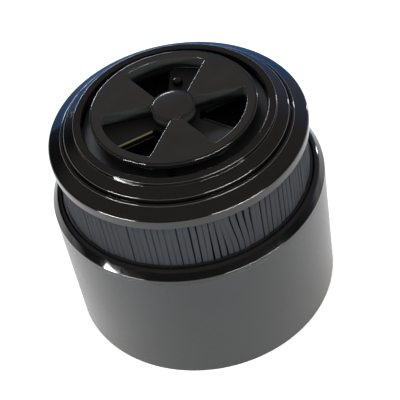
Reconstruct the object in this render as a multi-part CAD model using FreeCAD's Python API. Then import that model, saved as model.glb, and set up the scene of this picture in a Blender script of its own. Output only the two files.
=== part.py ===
import FreeCAD, Part
import math
import os

# Canister filter: a drum, a pleated cartridge that lifts out of it, and a cap with a flow dial.
# Millimetres. The origin is the centre of the base, +Z is up and -Y is the front.

# Pleated media
pleat_radius = 54.0
pleat_count = 132
pleat_depth = 14.0
pleat_length = 76.7
pleat_gap = 0.7
pleat_crown = 0.35
paper_thickness = 0.5
core_gap = 0.3

# Core, foam and end caps of the cartridge
core_wall = 2.0
core_slot_width = 7.0
core_slot_height = 9.0
core_slot_pitch = 15.0
core_slot_columns = 12
foam_clearance = 0.3
foam_headroom = 3.6
end_cap_floor = 2.0
end_cap_wall = 1.0
end_cap_lip = 6.0
end_cap_fit = 0.1
potting_depth = 2.5
top_potting_depth = 1.0
top_plate_thickness = 1.2
collar_height = 6.0
collar_below_rim = 0.4

# Drum and the glossy rim ring on its mouth
mouth_clearance = 0.5
spigot_wall = 1.8
spigot_clearance = 0.2
spigot_length = 4.9
drum_wall = 2.4
drum_height = 60.5
drum_edge = 1.0
floor_thickness = 2.4
floor_recess = 1.6
foot_width = 5.4
base_ring_width = 2.6
base_ring_depth = 1.2
base_ring_proud = 0.4
seat_rib_height = 3.6
rib_thickness = 2.0
rib_count = 6
seat_rib_inner = 16.0
guide_rib_length = 44.0
guide_clearance = 0.4
rim_edge_height = 1.7
rim_rise = 3.8
rim_top_width = 1.6
rim_edge_round = 0.8
rim_crown_round = 2.6
seal_section = 1.9
seal_lip_clearance = 0.3
seal_groove_play = 0.1

# Stepped cap, from its skirt inwards
skirt_lap = 0.2
skirt_wall = 0.9
skirt_clearance = 0.4
cap_wall = 1.8
cap_seat_play = 0.1
flange_round = 1.3
flange_width = 5.6
flange_rise = 2.4
bead_width = 1.6
bead_rise = 0.9
bead_groove = 0.4
step_rise = 2.5
shoulder_width = 4.9
shoulder_rise = 1.8
crest_rise = 2.2
crest_width = 3.4
edge_round = 0.5
well_depth = 5.1
deck_ledge = 6.4
gasket_thickness = 1.0
gasket_width = 2.8
gasket_rib_width = 1.6

# Port plate under the dial
sector_count = 3
plate_thickness = 1.5
plate_clearance = 0.5
port_inset = 1.5
blade_lap = 0.35
blade_centre = 48.5
port_corner = 0.8
seal_strip_width = 0.9
seal_strip_proud = 0.2
seal_strip_drop = 0.6
boss_web = 4.0
boss_proud = 0.4
boss_drop = 5.0
stud_radius = 2.2
stud_height = 2.6
stud_inset = 10.3
plate_screw_margin = 0.4
plate_screw_angle = 20.0
plate_screw_radius = 1.0
plate_screw_head_radius = 1.6
plate_screw_head_height = 1.1

# Flow dial and its pivot
moat_width = 4.2
dial_proud = 2.5
dial_skin = 1.8
dial_side = 2.5
dial_side_wall = 1.5
dial_land = 4.5
dial_round = 0.6
window_wedge = 60.0
window_relief = 2.55
window_corner = 0.8
window_wall = 1.1
hub_wall = 2.95
hub_floor = 1.6
dial_lift = 0.1
pivot_radius = 3.0
pivot_clearance = 0.06
screw_thread_radius = 2.4
screw_head_radius = 4.2
screw_head_height = 1.4
screw_socket_radius = 1.7
washer_thickness = 0.4
washer_overhang = 0.5
counterbore_clearance = 0.3
hub_cap_seat = 1.7
hub_cap_edge = 1.6
hub_cap_dome = 0.5
hub_cap_round = 0.6
hub_cap_play = 0.05
hub_spigot_wall = 1.0
hub_spigot_depth = 0.6

# Radii that follow from the sizes above
cartridge_radius = pleat_radius + end_cap_fit + end_cap_wall
rim_bore = cartridge_radius + mouth_clearance
spigot_radius = rim_bore + spigot_wall
drum_bore = spigot_radius + spigot_clearance
canister_radius = drum_bore + drum_wall
core_radius = pleat_radius - pleat_depth - core_gap
core_bore = core_radius - core_wall
skirt_bore = pleat_radius + skirt_clearance
skirt_radius = skirt_bore + skirt_wall
flange_inner = skirt_radius - flange_width
bead_inner = flange_inner - bead_width
step_radius = bead_inner - bead_groove
crest_radius = step_radius - shoulder_width
well_radius = crest_radius - crest_width
deck_bore = well_radius - deck_ledge
plate_radius = well_radius - plate_clearance
dial_radius = well_radius - moat_width
window_radius = dial_radius - dial_land
washer_radius = screw_head_radius + washer_overhang
hub_spigot_inner = washer_radius + counterbore_clearance
counterbore_radius = hub_spigot_inner + hub_spigot_wall + hub_cap_play
hub_radius = counterbore_radius + hub_wall
port_inner_radius = hub_radius + port_inset
boss_radius = port_inner_radius - boss_web
stud_orbit = window_radius - stud_inset
plate_screw_orbit = deck_bore + plate_screw_margin + plate_screw_radius

# Heights that follow from the sizes above, from the floor up
foot_z = base_ring_proud
floor_z = foot_z + floor_recess + floor_thickness
seat_z = floor_z + seat_rib_height
end_floor_z = seat_z + end_cap_floor
pleat_bottom_z = end_floor_z + potting_depth
pleat_top_z = pleat_bottom_z + pleat_length
top_plate_z = pleat_top_z + top_potting_depth
top_plate_top_z = top_plate_z + top_plate_thickness
mouth_z = foot_z + drum_height
rim_edge_z = mouth_z + rim_edge_height
rim_top_z = rim_edge_z + rim_rise
seal_z = rim_edge_z + seal_section / 4
collar_top_z = rim_top_z - collar_below_rim
skirt_z = pleat_top_z - skirt_lap
flange_z = top_plate_top_z + cap_seat_play + cap_wall
flange_inner_z = flange_z + flange_rise
bead_z = flange_inner_z + bead_rise
step_z = flange_inner_z + step_rise
shoulder_z = step_z + shoulder_rise
crest_z = shoulder_z + crest_rise
deck_z = crest_z - well_depth
plate_top_z = deck_z + plate_thickness
boss_top_z = plate_top_z + boss_proud
boss_foot_z = deck_z - boss_drop
dial_bottom_z = boss_top_z + dial_lift
dial_top_z = crest_z + dial_proud
skin_z = dial_top_z - dial_skin
hub_floor_z = dial_bottom_z + hub_floor
washer_z = hub_floor_z + dial_lift
screw_head_z = washer_z + washer_thickness
hub_seat_z = dial_top_z - hub_cap_seat

UP = FreeCAD.Vector(0, 0, 1)
CENTRE = FreeCAD.Vector(0, 0, 0)


def polar(radius, degrees, z=0.0):
    """Point at a radius and an angle about the filter's axis."""
    angle = math.radians(degrees)
    return FreeCAD.Vector(radius * math.cos(angle), radius * math.sin(angle), z)


def rounded_wire(corners):
    """Closed wire through (point, radius) corners, each rounded by an arc that touches both sides."""
    starts = []
    ends = []
    edges = []
    for index, (point, radius) in enumerate(corners):
        if radius == 0:
            starts.append(point)
            ends.append(point)
            continue
        back = (corners[index - 1][0] - point).normalize()
        ahead = (corners[(index + 1) % len(corners)][0] - point).normalize()
        half_angle = back.getAngle(ahead) / 2
        middle = (back + ahead).normalize()
        reach = radius / math.tan(half_angle)
        start = point + back * reach
        end = point + ahead * reach
        crown = point + middle * (radius / math.sin(half_angle) - radius)
        starts.append(start)
        ends.append(end)
        edges.append((index, Part.Arc(start, crown, end).toShape()))
    arcs = dict(edges)
    ordered = []
    for index in range(len(corners)):
        if index in arcs:
            ordered.append(arcs[index])
        following = starts[(index + 1) % len(corners)]
        if ends[index].distanceToPoint(following) > 1e-6:
            ordered.append(Part.LineSegment(ends[index], following).toShape())
    return Part.Wire(ordered)


def turned(profile):
    """Solid of revolution about Z from (radius, height, corner radius) points."""
    corners = [(FreeCAD.Vector(r, 0, z), corner) for r, z, corner in profile]
    face = Part.Face(rounded_wire(corners))
    return face.revolve(CENTRE, UP, 360)


def ring(inner, outer, bottom, top):
    """Plain tube between two radii and two heights."""
    base = FreeCAD.Vector(0, 0, bottom)
    tube = Part.makeCylinder(outer, top - bottom, base)
    if inner > 0:
        tube = tube.cut(Part.makeCylinder(inner, top - bottom, base))
    return tube


def prism(wire_points, bottom, top):
    """Upright prism on a closed list of plan points."""
    points = [FreeCAD.Vector(p.x, p.y, bottom) for p in wire_points]
    face = Part.Face(Part.makePolygon(points + points[:1]))
    return face.extrude(FreeCAD.Vector(0, 0, top - bottom))


def radial_bar(degrees, inner, outer, width, bottom, top):
    """Straight bar that runs out from the axis at one angle."""
    bar = Part.makeBox(outer - inner, width, top - bottom, FreeCAD.Vector(inner, -width / 2, bottom))
    bar.rotate(CENTRE, UP, degrees)
    return bar


def around(shape, count):
    """Copies of a shape spaced evenly about the axis."""
    copies = []
    for index in range(count):
        copy = shape.copy()
        copy.rotate(CENTRE, UP, index * 360.0 / count)
        copies.append(copy)
    return copies


def export(shape, node):
    """Write one named node."""
    shape.exportStep("parts/" + node + ".step")


def drum():
    """Cup with a raised floor, seat ribs under the cartridge and guide ribs up its wall."""
    foot_inner = canister_radius - foot_width
    groove_inner = canister_radius - foot_width / 2 - base_ring_width / 2
    groove_outer = groove_inner + base_ring_width
    groove_z = foot_z + base_ring_depth
    under_z = foot_z + floor_recess
    profile = [
        (0, under_z, 0),
        (foot_inner, under_z, 0),
        (foot_inner, foot_z, 0),
        (groove_inner, foot_z, 0),
        (groove_inner, groove_z, 0),
        (groove_outer, groove_z, 0),
        (groove_outer, foot_z, 0),
        (canister_radius, foot_z, drum_edge),
        (canister_radius, mouth_z, 0),
        (drum_bore, mouth_z, 0),
        (drum_bore, floor_z, drum_edge),
        (0, floor_z, 0),
    ]
    shell = turned(profile)
    guide_inner = cartridge_radius + guide_clearance
    seat_outer = cartridge_radius - end_cap_wall
    sunk = floor_thickness / 2
    seat_rib = radial_bar(0, seat_rib_inner, seat_outer, rib_thickness, floor_z - sunk, seat_z)
    guide_outer = drum_bore + drum_wall / 2
    guide_top = floor_z + guide_rib_length
    guide_rib = radial_bar(0, guide_inner, guide_outer, rib_thickness, floor_z - sunk, guide_top)
    return shell.fuse(around(seat_rib, rib_count) + around(guide_rib, rib_count)).removeSplitter()


def base_ring():
    """Soft ring in the groove of the foot, a little proud of it."""
    inner = canister_radius - foot_width / 2 - base_ring_width / 2
    return ring(inner, inner + base_ring_width, 0, foot_z + base_ring_depth)


def rim_ring():
    """Glossy crowned ring on the mouth, with a spigot inside the drum and a groove for the seal."""
    groove_half = seal_section / 2 + seal_groove_play / 2
    groove_radius = cartridge_radius + seal_lip_clearance + seal_section
    spigot_z = mouth_z - spigot_length
    profile = [
        (canister_radius, mouth_z, 0),
        (canister_radius, rim_edge_z, rim_edge_round),
        (rim_bore + rim_top_width, rim_top_z, rim_crown_round),
        (rim_bore, rim_top_z, rim_top_width / 3),
        (rim_bore, seal_z + groove_half, 0),
        (groove_radius, seal_z + groove_half, 0),
        (groove_radius, seal_z - groove_half, 0),
        (rim_bore, seal_z - groove_half, 0),
        (rim_bore, spigot_z, spigot_wall / 4),
        (spigot_radius, spigot_z, spigot_wall / 4),
        (spigot_radius, mouth_z, 0),
    ]
    return turned(profile)


def mouth_seal():
    """Round-section seal in the rim ring's groove, just clear of the cartridge's collar."""
    middle = cartridge_radius + seal_lip_clearance + seal_section / 2
    return Part.makeTorus(middle, seal_section / 2, FreeCAD.Vector(0, 0, seal_z))


def pleat_outline(outer, inner, half_angle, crown):
    """Plan points of one folded outline: flat tips with clipped corners, then a slot to the root."""
    points = []
    pitch = 360.0 / pleat_count
    clipped = half_angle * (1 - crown)
    clip = crown * (outer - inner) / pleat_depth
    for index in range(pleat_count):
        middle = index * pitch
        points.append(polar(inner, middle - half_angle))
        points.append(polar(outer - clip, middle - half_angle))
        points.append(polar(outer, middle - clipped))
        points.append(polar(outer, middle + clipped))
        points.append(polar(outer - clip, middle + half_angle))
        points.append(polar(inner, middle + half_angle))
    return points


def pleated_media():
    """One sheet of filter paper folded round the core, with its two faces worked out by formula."""
    pitch = 360.0 / pleat_count
    gap_angle = math.degrees(pleat_gap / pleat_radius)
    paper_angle = math.degrees(paper_thickness / pleat_radius)
    outer_half = (pitch - gap_angle) / 2
    inner_half = outer_half - paper_angle
    root = pleat_radius - pleat_depth
    outside = pleat_outline(pleat_radius, root + paper_thickness, outer_half, pleat_crown)
    inside = pleat_outline(pleat_radius - paper_thickness, root, inner_half, pleat_crown)
    body = prism(outside, pleat_bottom_z, pleat_top_z)
    return body.cut(prism(inside, pleat_bottom_z, pleat_top_z))


def core_tube():
    """Perforated tube that holds the pleats up from inside."""
    tube = ring(core_bore, core_radius, end_floor_z, top_plate_z)
    span = top_plate_z - end_floor_z
    rows = max(1, int((span - core_slot_height) / core_slot_pitch))
    first = end_floor_z + (span - (rows - 1) * core_slot_pitch - core_slot_height) / 2
    reach = core_wall
    slots = []
    for row in range(rows):
        low = first + row * core_slot_pitch
        slot = radial_bar(0, core_bore - reach, core_radius + reach, core_slot_width,
                          low, low + core_slot_height)
        slots.extend(around(slot, core_slot_columns))
    return tube.cut(slots)


def foam_block():
    """Coarse foam cylinder inside the core."""
    return ring(0, core_bore - foam_clearance, end_floor_z, boss_foot_z - foam_headroom)


def bottom_end_cap():
    """Shallow cup that closes the foot of the cartridge and holds the ends of the pleats."""
    profile = [
        (0, seat_z, 0),
        (cartridge_radius, seat_z, end_cap_wall / 2),
        (cartridge_radius, seat_z + end_cap_lip, end_cap_wall / 3),
        (cartridge_radius - end_cap_wall, seat_z + end_cap_lip, end_cap_wall / 3),
        (cartridge_radius - end_cap_wall, end_floor_z, 0),
        (0, end_floor_z, 0),
    ]
    return turned(profile)


def bottom_potting():
    """Resin that bonds the foot of the pleats into the end cap."""
    return ring(core_radius, cartridge_radius - end_cap_wall, end_floor_z, pleat_bottom_z)


def top_potting():
    """Resin that bonds the head of the pleats to the top plate."""
    return ring(core_radius, pleat_radius, pleat_top_z, top_plate_z)


def top_plate():
    """Flat ring that carries the cap and closes the head of the pleats."""
    outer = skirt_bore - cap_seat_play
    return ring(core_bore, outer, top_plate_z, top_plate_top_z)


def sealing_collar():
    """Smooth band round the pleats, where the cartridge passes the mouth seal."""
    return ring(pleat_radius, cartridge_radius, collar_top_z - collar_height, collar_top_z)


def shoulder_height(radius):
    """Height of the cap's sloping shoulder at a radius."""
    return shoulder_z + (radius - crest_radius) * (step_z - shoulder_z) / (step_radius - crest_radius)


def top_cap():
    """Stepped cover: skirt, sloping flange, bead, shoulder, crest and the well of the dial."""
    under_deck = deck_z - cap_wall
    rib_foot = top_plate_top_z + gasket_thickness
    rib_outer = step_radius - cap_wall - gasket_rib_width / 2
    rib_inner = rib_outer - gasket_rib_width
    wall_outer = well_radius + cap_wall
    hall = step_radius - cap_wall
    profile = [
        (skirt_radius, skirt_z, skirt_wall / 3),
        (skirt_radius, flange_z, flange_round),
        (flange_inner, flange_inner_z, 0),
        (flange_inner, bead_z, bead_width * 0.4),
        (bead_inner, bead_z, bead_width * 0.4),
        (bead_inner, flange_inner_z, 0),
        (step_radius, flange_inner_z, 0),
        (step_radius, step_z, edge_round * 1.6),
        (crest_radius, shoulder_z, edge_round / 2),
        (crest_radius, crest_z, edge_round),
        (well_radius, crest_z, edge_round),
        (well_radius, deck_z, 0),
        (deck_bore, deck_z, 0),
        (deck_bore, under_deck, 0),
        (wall_outer, under_deck, 0),
        (wall_outer, shoulder_height(wall_outer) - cap_wall, 0),
        (rib_inner, shoulder_height(rib_inner) - cap_wall, 0),
        (rib_inner, rib_foot, 0),
        (rib_outer, rib_foot, 0),
        (rib_outer, shoulder_height(rib_outer) - cap_wall, 0),
        (hall, shoulder_height(hall) - cap_wall, 0),
        (hall, flange_inner_z - cap_wall, 0),
        (flange_inner, flange_inner_z - cap_wall, 0),
        (skirt_bore, flange_z - cap_wall, 0),
        (skirt_bore, skirt_z, 0),
    ]
    cap = turned(profile)
    return cap.cut(plate_screw_shanks(plate_screw_radius))


def cap_gasket():
    """Flat soft ring between the top plate and the rib inside the cap."""
    middle = step_radius - cap_wall - gasket_rib_width
    half = gasket_width / 2
    return ring(middle - half, middle + half, top_plate_top_z, top_plate_top_z + gasket_thickness)


def sector(middle, wedge, relief, inner, outer, corner, bottom, top):
    """Prism between two radii whose straight sides lie parallel to a wedge's sides, relief outside them."""
    left = middle + wedge / 2
    right = middle - wedge / 2

    def corner_point(radius, degrees, side):
        along = math.sqrt(radius ** 2 - relief ** 2)
        return polar(along, degrees) + polar(relief, degrees + side * 90)

    inner_right = corner_point(inner, right, -1)
    outer_right = corner_point(outer, right, -1)
    outer_left = corner_point(outer, left, 1)
    inner_left = corner_point(inner, left, 1)
    edges = [
        Part.LineSegment(inner_right, outer_right).toShape(),
        Part.Arc(outer_right, polar(outer, middle), outer_left).toShape(),
        Part.LineSegment(outer_left, inner_left).toShape(),
        Part.Arc(inner_left, polar(inner, middle), inner_right).toShape(),
    ]
    face = Part.Face(Part.Wire(edges))
    face.translate(FreeCAD.Vector(0, 0, bottom))
    solid = face.extrude(FreeCAD.Vector(0, 0, top - bottom))
    if corner == 0:
        return solid
    upright = [e for e in solid.Edges if abs(e.tangentAt(e.FirstParameter).z) > 0.99]
    return solid.makeFillet(corner, upright)


def port(middle, bottom, top):
    """One port of the plate: what the blades on its two sides leave open."""
    blade_relief = window_relief + blade_lap
    wedge = 360.0 / sector_count - window_wedge
    outer = window_radius
    return sector(middle, wedge, -blade_relief, port_inner_radius, outer, port_corner, bottom, top)


def plate_screw_shanks(radius):
    """Shanks of the screws that hold the port plate, as tools for their holes."""
    place = polar(plate_screw_orbit, plate_screw_angle, deck_z - cap_wall)
    shank = Part.makeCylinder(radius, cap_wall + plate_thickness, place)
    return around(shank, sector_count)


def port_plate():
    """Fixed shutter: a disc with three ports, three blades between them and a boss for the pivot."""
    plate = ring(0, plate_radius, deck_z, plate_top_z)
    boss = ring(0, boss_radius, boss_foot_z, boss_top_z)
    plate = plate.fuse(boss)
    step = 360.0 / sector_count
    first = blade_centre + step / 2
    tools = [port(first + index * step, boss_foot_z, boss_top_z) for index in range(sector_count)]
    tools.extend(plate_screw_shanks(plate_screw_radius))
    tools.append(ring(0, screw_thread_radius, boss_foot_z, boss_top_z))
    return plate.cut(tools).removeSplitter()


def port_seals():
    """Amber wiper strips along both straight sides of each blade."""
    inner = port_inner_radius + 2 * port_corner
    outer = window_radius - 2 * port_corner
    relief = window_relief + blade_lap
    bottom = deck_z - seal_strip_drop
    top = plate_top_z + seal_strip_proud
    strips = []
    for side in (-1, 1):
        low_side = relief if side > 0 else -relief - seal_strip_width
        strip = Part.makeBox(outer - inner, seal_strip_width, top - bottom,
                             FreeCAD.Vector(inner, low_side, bottom))
        strip.rotate(CENTRE, UP, blade_centre + side * window_wedge / 2)
        strips.extend(around(strip, sector_count))
    return Part.makeCompound(strips)


def stop_stud():
    """Domed stud on one blade, which stands in a window of the dial and ends its travel."""
    profile = [
        (0, plate_top_z, 0),
        (stud_radius, plate_top_z, 0),
        (stud_radius, plate_top_z + stud_height, stud_radius * 0.6),
        (0, plate_top_z + stud_height, 0),
    ]
    stud = turned(profile)
    stud.translate(polar(stud_orbit, blade_centre + window_wedge / 2))
    return stud


def plate_screws():
    """Three small screws that hold the port plate down on the deck."""
    screws = []
    for shank in plate_screw_shanks(plate_screw_radius):
        foot = FreeCAD.Vector(shank.CenterOfMass.x, shank.CenterOfMass.y, plate_top_z)
        head = Part.makeCylinder(plate_screw_head_radius, plate_screw_head_height, foot)
        screws.append(shank.fuse(head).removeSplitter())
    return Part.makeCompound(screws)


def pivot_screw():
    """Shoulder screw that the dial turns on, with its thread in the boss."""
    profile = [
        (0, boss_foot_z, 0),
        (screw_thread_radius, boss_foot_z, 0),
        (screw_thread_radius, boss_top_z, 0),
        (pivot_radius, boss_top_z, 0),
        (pivot_radius, screw_head_z, 0),
        (screw_head_radius, screw_head_z, 0),
        (screw_head_radius, screw_head_z + screw_head_height, screw_head_height / 4),
        (0, screw_head_z + screw_head_height, 0),
    ]
    socket_z = screw_head_z + screw_head_height / 3
    corners = [polar(screw_socket_radius, index * 60) for index in range(6)]
    socket = prism(corners, socket_z, screw_head_z + screw_head_height)
    return turned(profile).cut(socket)


def thrust_washer():
    """Slip washer between the screw's head and the floor of the dial's hub."""
    return ring(pivot_radius, washer_radius, washer_z, screw_head_z)


def dial():
    """Turning shutter: a thin disc on a hub, with three windows framed by walls down to the plate."""
    disc_profile = [
        (0, skin_z, 0),
        (dial_radius - dial_side_wall, skin_z, 0),
        (dial_radius - dial_side_wall, dial_top_z - dial_side, 0),
        (dial_radius, dial_top_z - dial_side, dial_side_wall / 5),
        (dial_radius, dial_top_z, dial_round),
        (0, dial_top_z, 0),
    ]
    disc = turned(disc_profile)
    hub = ring(0, hub_radius, dial_bottom_z, skin_z)
    step = 360.0 / sector_count
    frames = []
    windows = []
    for index in range(sector_count):
        middle = 90 + index * step
        frames.append(sector(middle, window_wedge, window_relief + window_wall, hub_radius - window_wall,
                             window_radius + window_wall, 0, dial_bottom_z, skin_z))
        windows.append(sector(middle, window_wedge, window_relief, hub_radius, window_radius,
                              window_corner, dial_bottom_z, dial_top_z))
    body = disc.fuse([hub] + frames).cut(windows)
    bore = ring(0, pivot_radius + pivot_clearance, dial_bottom_z, hub_floor_z)
    counterbore = ring(0, counterbore_radius, hub_floor_z, hub_seat_z)
    recess = ring(0, hub_radius + hub_cap_play, hub_seat_z, dial_top_z)
    return body.cut([bore, counterbore, recess]).removeSplitter()


def hub_cap():
    """Domed cover pressed into the hub over the pivot screw."""
    edge_z = hub_seat_z + hub_cap_edge
    crown_z = edge_z + hub_cap_dome
    spigot_outer = counterbore_radius - hub_cap_play
    dome_radius = (hub_radius ** 2 + hub_cap_dome ** 2) / (2 * hub_cap_dome)
    dome = Part.makeSphere(dome_radius, FreeCAD.Vector(0, 0, crown_z - dome_radius))
    cover = ring(0, hub_radius, hub_seat_z, crown_z).common(dome)
    shoulder = [e for e in cover.Edges if e.BoundBox.ZMin > hub_seat_z and e.BoundBox.ZMax < crown_z - 1e-6]
    cover = cover.makeFillet(hub_cap_round, [e for e in shoulder if e.BoundBox.ZLength < 1e-6])
    spigot = ring(hub_spigot_inner, spigot_outer, hub_seat_z - hub_spigot_depth, hub_seat_z)
    return cover.fuse(spigot).removeSplitter()


NODES = {
    "drum": drum,
    "base_ring": base_ring,
    "rim_ring": rim_ring,
    "mouth_seal": mouth_seal,
    "pleated_media": pleated_media,
    "core_tube": core_tube,
    "foam_block": foam_block,
    "bottom_end_cap": bottom_end_cap,
    "bottom_potting": bottom_potting,
    "top_potting": top_potting,
    "top_plate": top_plate,
    "sealing_collar": sealing_collar,
    "top_cap": top_cap,
    "cap_gasket": cap_gasket,
    "port_plate": port_plate,
    "port_seals": port_seals,
    "stop_stud": stop_stud,
    "plate_screws": plate_screws,
    "pivot_screw": pivot_screw,
    "thrust_washer": thrust_washer,
    "dial": dial,
    "hub_cap": hub_cap,
}

os.makedirs("parts", exist_ok=True)
for node, make in NODES.items():
    export(make(), node)
print("height", round(dial_top_z, 2), "radius", round(canister_radius, 2))
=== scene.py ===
import math
import random

import bmesh
import bpy
from mathutils import Matrix, Vector


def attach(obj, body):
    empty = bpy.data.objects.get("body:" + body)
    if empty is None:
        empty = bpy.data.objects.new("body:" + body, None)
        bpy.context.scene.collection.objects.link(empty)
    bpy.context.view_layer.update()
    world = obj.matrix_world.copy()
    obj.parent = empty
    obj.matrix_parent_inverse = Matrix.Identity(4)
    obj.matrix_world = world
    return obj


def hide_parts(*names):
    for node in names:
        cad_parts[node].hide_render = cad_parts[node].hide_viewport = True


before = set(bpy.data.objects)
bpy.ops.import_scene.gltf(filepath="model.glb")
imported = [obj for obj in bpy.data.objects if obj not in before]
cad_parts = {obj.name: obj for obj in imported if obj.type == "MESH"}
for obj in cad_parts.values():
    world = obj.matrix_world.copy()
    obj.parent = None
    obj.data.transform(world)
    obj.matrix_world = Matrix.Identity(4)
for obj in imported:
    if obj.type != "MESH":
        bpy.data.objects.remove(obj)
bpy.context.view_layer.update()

# Canister filter: drum, pleated cartridge, stepped cap and flow dial.
# Sizes are millimetres and degrees. MM turns them into metres.
MM = 0.001
TURN = 2 * math.pi
UP = Vector((0, 0, 1))

# Camera of the photograph, a 400 pixel square
CAMERA_PLACE = (0, -361.16, 415.09)
CAMERA_TARGET = (3.081, -15.66, 62.36)
CAMERA_ROLL = 11.44
CAMERA_LENS = 103.5
CAMERA_SENSOR = 36.0
CAMERA_NEAR = 10

# Studio, in metres and watts. Heights of the sky are sines of the climb above the floor.
FLOOR_REACH = 6.0
CARD_SIZE = (0.9, 0.22)
CARD_DISTANCE = 0.45
HORIZON_FADE = 0.10
CEILING_FADE = (0.46, 0.66)
DUSK_SLANT = 0.66
DUSK_FADE = (0.4, 1.1)
FILL = 0.4
LAMP_AIM = (0, 0, 0.09)
LAMPS = (
    ("left_strip", (-0.84, -0.50, 0.25), (0.50, 0.04), 10.0, "#FFFFFF"),
    ("right_strip", (0.53, -0.78, 0.26), (0.80, 0.04), 12.0, "#FFFFFF"),
    ("right_lamp", (0.74, 0.63, 0.24), (0.06, 0.06), 1.0, "#FFFFFF"),
    ("back_window", (-0.21, 0.93, 0.43), (0.50, 0.07), 5.5, "#E6EEFF"),
)

# Meshing
MERGE = 1e-6
SHARP_ANGLE = 33
TURN_STEPS = 256
HAIR_ROUND = 0.1
FINE_ROUND = 0.2

# Drum and rim ring
DRUM_RADIUS = 60.0
DRUM_BORE = 57.6
DRUM_EDGE = 1.0
FOOT_Z = 0.4
UNDER_Z = 2.0
FLOOR_Z = 4.4
SEAT_Z = 8.0
MOUTH_Z = 60.9
FOOT_INNER = 54.6
BASE_RING_INNER = 56.0
BASE_RING_OUTER = 58.6
BASE_RING_TOP = 1.6
BASE_RING_ROUND = 0.35
FOOT_ROUND = 0.3
MOUTH_ROUND = 0.15
RIB_COUNT = 6
RIB_THICKNESS = 2.0
RIB_SUNK = 1.2
SEAT_RIB = (16.0, 54.1)
GUIDE_RIB = (55.5, 58.8)
GUIDE_TOP = 48.4
RIM_BORE = 55.6
RIM_EDGE_Z = 62.6
RIM_TOP_Z = 66.4
RIM_TOP_RADIUS = 57.2
RIM_EDGE_ROUND = 0.8
RIM_CROWN_ROUND = 2.6
RIM_LIP_ROUND = 0.53
SPIGOT_RADIUS = 57.4
SPIGOT_Z = 56.0
SPIGOT_ROUND = 0.45
SEAL_Z = 63.075
SEAL_MIDDLE = 56.35
SEAL_SECTION = 1.9
SEAL_GROOVE = 57.3
SEAL_PLAY = 0.05
SEAL_STEPS = 20

# Pleated cartridge
CARTRIDGE_RADIUS = 55.1
PLEAT_RADIUS = 54.0
PLEAT_ROOT = 40.5
PLEAT_COUNT = 132
PLEAT_GAP = 0.42
PLEAT_CORNER = 0.3
PLEAT_FOOT = 12.5
PLEAT_TOP = 89.2
PLEAT_STAGES = 16
PAPER = 0.5
FOLD_MERGE = 1e-5
CHANCE_SEED = 11
SHIFT = 0.12
LEAN = 0.22
SWAY = 0.12
SWAY_WAVES = 9
SPREAD = (0.98, 1.1)
TIP_DEPTH = 0.3
CRUSHED_PLEAT = 104.5
CRUSHED_WIDTH = 2.6
CRUSH = 1.3
PRESSED_PLEAT = 84
PRESSED_WIDTH = 11
PRESSED_SPREAD = 1.17
PRESSED_CALM = 0.6
COLLAR_FOOT = 60.0
COLLAR_TOP = 66.0
COLLAR_ROUND = 0.3
END_CAP_TOP = 14.0
END_CAP_FLOOR = 10.0
END_CAP_WALL = 1
END_CAP_ROUND = 0.5
END_CAP_LIP_ROUND = 0.33

# Stepped cap
SKIRT_RADIUS = 55.3
SKIRT_BORE = 54.4
SKIRT_Z = 89.0
SKIRT_ROUND = 0.3
FLANGE_Z = 93.3
FLANGE_ROUND = 1.3
FLANGE_INNER = 49.7
FLANGE_INNER_Z = 95.7
BEAD_INNER = 48.1
BEAD_Z = 96.6
BEAD_ROUND = 0.64
STEP_RADIUS = 47.7
STEP_Z = 98.2
STEP_ROUND = 0.8
STEP_WALL_Z = 97.0
CREST_RADIUS = 42.8
SHOULDER_Z = 100.0
SHOULDER_ROUND = 0.25
CREST_Z = 102.2
CREST_ROUND = 0.5
WELL_RADIUS = 39.4
WELL_WALL_Z = 98.8
DECK_Z = 97.1
DECK_BORE = 33.0
CAP_WALL = 1.8

# Port plate, wiper strips and stud
SECTORS = 3
PLATE_RADIUS = 38.9
PLATE_TOP = 98.6
PLATE_MARGIN = 0.4
PORT_INNER = 10.5
PORT_CORNER = 0.8
PORT_EDGE = ((0.45, 0), (0.25, 0), (0.07, 0.07), (0, 0.25))
BLADE_CENTRE = 48.5
BLADE_RELIEF = 2.9
BOSS_RADIUS = 6.5
BOSS_BORE = 2.4
BOSS_TOP = 99.0
BOSS_TOP_ROUND = 0.15
BOSS_FOOT = 92.1
BOSS_FOOT_ROUND = 0.3
STRIP_INNER = 12.1
STRIP_OUTER = 29.1
STRIP_WIDTH = 0.9
STRIP_TOP = 98.8
STRIP_FOOT = 96.5
STRIP_LIP = 0.3
STRIP_BACK = 0.4
STRIP_SOLE = 1.5
# The one strip whose lips are painted amber as the yellow highlight lines along the seen port edge.
HIGHLIGHT_STRIP = (1, 1)
STUD_RADIUS = 2.2
STUD_TOP = 101.2
STUD_ORBIT = 20.4
STUD_DOME = 0.6
STUD_STEPS = 48
SCREW_ORBIT = 34.4
SCREW_ANGLE = 20.0
SCREW_RADIUS = 1.0
SCREW_HEAD_RADIUS = 1.6
SCREW_HEAD_HEIGHT = 1.1
SCREW_HEAD_ROUND = 0.45
SCREW_STEPS = 32

# Flow dial and hub cover
DIAL_RADIUS = 35.2
DIAL_TOP = 104.7
DIAL_EDGE_FOOT = 102.2
DIAL_SKIN_Z = 102.9
DIAL_BOTTOM = 99.1
DIAL_ROUND = 0.6
DIAL_FOOT_ROUND = 0.3
DIAL_MARGIN = 1.0
DIAL_SIDE_WALL = 1.5
FIRST_WINDOW = 90
WINDOW_RADIUS = 30.7
WINDOW_WEDGE = 60.0
WINDOW_RELIEF = 2.55
WINDOW_CORNER = 0.8
WINDOW_WALL = 1.1
WINDOW_ROUND = 0.35
WINDOW_MARGIN = 0.15
QUARTER_ROUND = ((1, 0), (0.62, 0.08), (0.29, 0.29), (0.08, 0.62), (0, 1))
WINDOW_OUTER_STEPS = 28
WINDOW_INNER_STEPS = 12
WINDOW_CORNER_STEPS = 5
POCKET_STEPS = 60
POCKET_HUB_STEPS = 4
HUB_RADIUS = 9.0
HUB_PLAY = 0.05
HUB_MARGIN = 0.45
HUB_FLOOR = 1.6
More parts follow.
